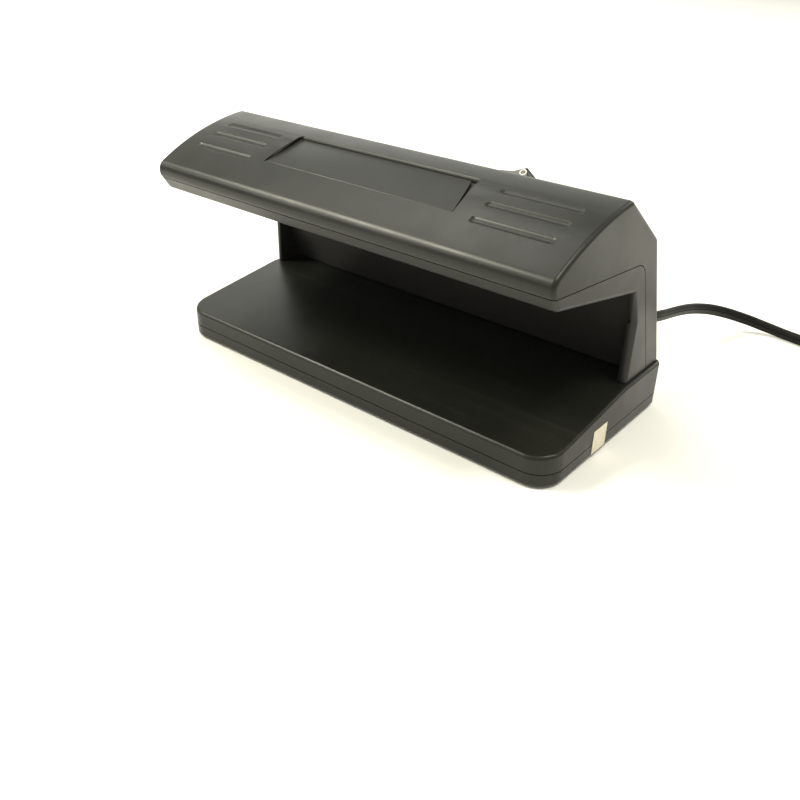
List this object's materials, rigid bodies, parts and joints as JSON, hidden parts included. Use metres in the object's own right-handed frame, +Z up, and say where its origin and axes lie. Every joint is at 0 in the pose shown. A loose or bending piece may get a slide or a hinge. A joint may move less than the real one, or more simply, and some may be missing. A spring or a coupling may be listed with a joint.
{
  "type": "counterfeit bill detector",
  "caption": "Desk-top ultraviolet banknote checker: a hooded lamp head over a wedge base, with a rocker switch on the back slope and a mains cord.",
  "frame": {"origin": "centre of the detector's own box (cord, coil and plug left out), on the surface that its feet stand on", "axes": "+X along the length towards the end with the switch and the cord, +Y from the open front to the back, +Z up"},
  "size_m": [0.3177, 0.1778, 0.0891],
  "materials": {
    "housing_plastic": "satin",
    "label_plastic": "satin",
    "seal_paper": "matte",
    "foot_rubber": "matte",
    "screw_steel": "satin",
    "cap_aluminium": "satin",
    "tube_glass": "gloss",
    "white_plastic": "satin",
    "switch_plastic": "satin",
    "core_steel": "matte",
    "winding_copper": "gloss",
    "wire_brown": "satin",
    "wire_blue": "satin",
    "wire_black": "satin",
    "wire_grey": "satin",
    "cord_vinyl": "satin",
    "pin_brass": "polished"
  },
  "bodies": {
    "housing": {"outer_cover": "housing_plastic", "inner_shell": "housing_plastic", "base_upper": "housing_plastic", "base_lower": "housing_plastic", "label_plate": "label_plastic", "seal_sticker": "seal_paper", "foot_front_left": "foot_rubber", "foot_back_left": "foot_rubber", "foot_front_right": "foot_rubber", "foot_back_right": "foot_rubber", "base_screw_front_left": "screw_steel", "base_screw_back_left": "screw_steel", "base_screw_front_right": "screw_steel", "base_screw_back_right": "screw_steel", "cover_screw_left": "screw_steel", "cover_screw_right": "screw_steel", "lamp_holder_left": "white_plastic", "lamp_holder_right": "white_plastic", "reflector": "cap_aluminium", "power_switch_body": "switch_plastic", "ballast_core": "core_steel", "ballast_winding": "winding_copper", "ballast_bracket": "screw_steel", "terminal_block": "white_plastic", "starter_socket": "white_plastic", "starter_can": "cap_aluminium", "lead_live": "wire_brown", "lead_neutral": "wire_blue", "wire_switch": "wire_brown", "wire_neutral": "wire_blue", "wire_ballast": "wire_black", "wire_lamp": "wire_black", "wire_starter_left": "wire_grey", "wire_starter_right": "wire_grey", "cord_bushing": "cord_vinyl", "power_cord": "cord_vinyl", "cord_coil": "cord_vinyl", "cord_tail": "cord_vinyl", "plug_body": "cord_vinyl", "plug_pin_left": "pin_brass", "plug_pin_right": "pin_brass"},
    "rocker": {"power_rocker": "switch_plastic"},
    "uv_tube": {"uv_tube_glass": "tube_glass", "tube_cap_left": "cap_aluminium", "tube_cap_right": "cap_aluminium", "lamp_rotor_left": "white_plastic", "lamp_rotor_right": "white_plastic"}
  },
  "joints": [
    {"name": "rocker_tilt", "type": "hinge", "parent": "housing", "child": "rocker", "pos_m": [0.0412, 0.0088, 0.08254], "axis": [0, 0.7895, -0.6137], "range_deg": [0, 32]},
    {"name": "tube_twist", "type": "hinge", "parent": "housing", "child": "uv_tube", "pos_m": [0, -0.0151, 0.0712], "axis": [1, 0, 0], "range_deg": [0, 90]}
  ]
}
